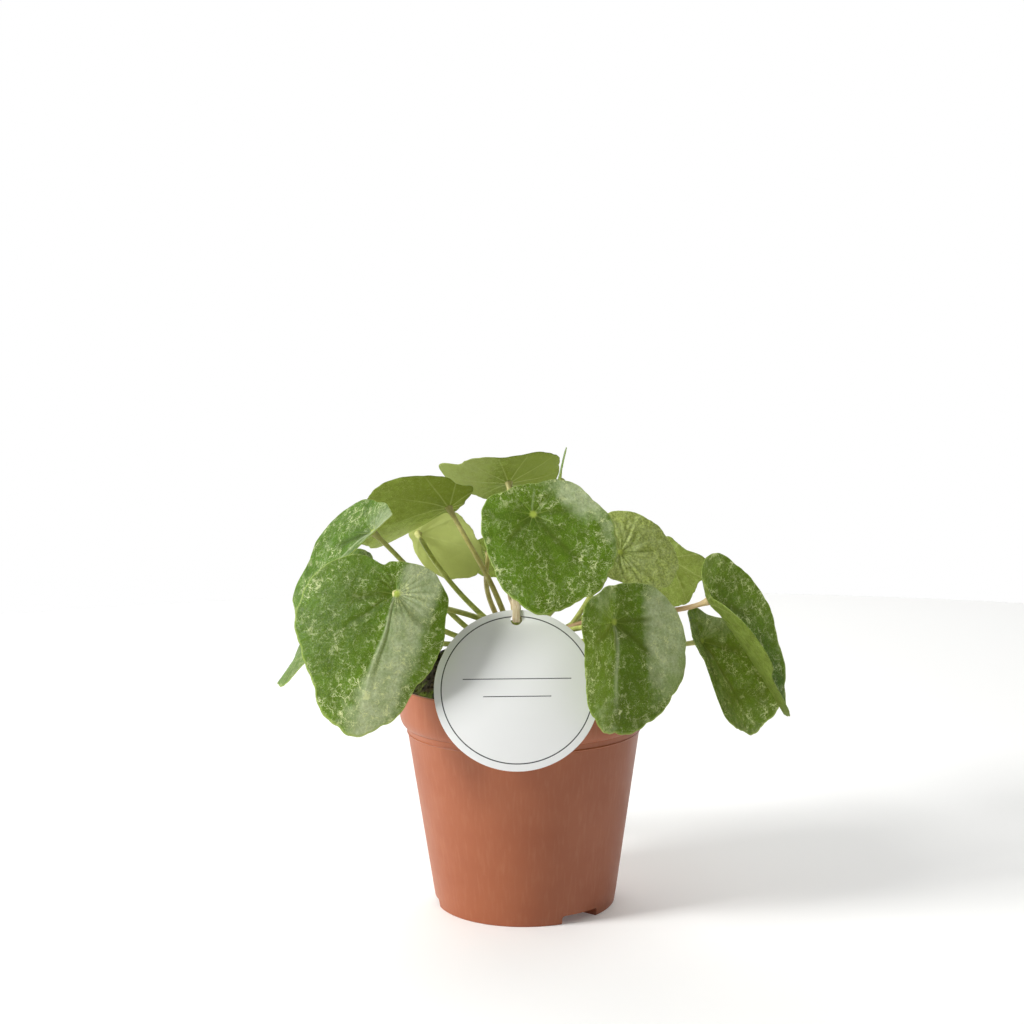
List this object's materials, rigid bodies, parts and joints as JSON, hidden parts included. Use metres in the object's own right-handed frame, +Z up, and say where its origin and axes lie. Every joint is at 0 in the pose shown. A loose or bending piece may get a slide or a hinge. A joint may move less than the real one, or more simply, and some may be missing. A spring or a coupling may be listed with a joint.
{
  "type": "potted pilea plant",
  "caption": "Variegated pilea with round, long-stalked leaves in a plastic nursery pot of soil, with a blank round tag held on by a loop.",
  "frame": {"origin": "centre of the pot's underside, on the pot's axis", "axes": "+Z up along the pot's axis; -Y is the front, where the round tag leans on the rim; +X is to the right seen from the front"},
  "size_m": [0.2483, 0.1842, 0.2152],
  "materials": {
    "terracotta_plastic": "satin moulded polypropylene in a terracotta colour",
    "peat_soil": "matt damp peat with fine fibres and specks of moss",
    "stem_bark": "matt green-brown young bark",
    "leaf_stalk": "smooth olive skin, pinkish brown on some stalks",
    "leaf_blade": "waxy satin, deep green with cream flecks above and pale olive below",
    "white_card": "smooth coated card with a fine dark printed ring",
    "natural_band": "matt beige band"
  },
  "bodies": {
    "root": {"pot": "terracotta_plastic", "soil": "peat_soil", "stem": "stem_bark", "tag": "white_card", "tag_loop": "natural_band", "stalk_a": "leaf_stalk", "leaf_a": "leaf_blade", "stalk_b": "leaf_stalk", "leaf_b": "leaf_blade", "stalk_c": "leaf_stalk", "leaf_c": "leaf_blade", "stalk_d": "leaf_stalk", "leaf_d": "leaf_blade", "stalk_e": "leaf_stalk", "leaf_e": "leaf_blade", "stalk_f": "leaf_stalk", "leaf_f": "leaf_blade", "stalk_g": "leaf_stalk", "leaf_g": "leaf_blade", "stalk_h": "leaf_stalk", "leaf_h": "leaf_blade", "stalk_i": "leaf_stalk", "leaf_i": "leaf_blade", "stalk_j": "leaf_stalk", "leaf_j": "leaf_blade", "stalk_k": "leaf_stalk", "leaf_k": "leaf_blade", "stalk_l": "leaf_stalk", "leaf_l": "leaf_blade", "stalk_m": "leaf_stalk", "leaf_m": "leaf_blade", "stalk_n": "leaf_stalk", "leaf_n": "leaf_blade", "stalk_p": "leaf_stalk", "leaf_p": "leaf_blade", "stalk_q": "leaf_stalk", "leaf_q": "leaf_blade"}
  },
  "joints": []
}
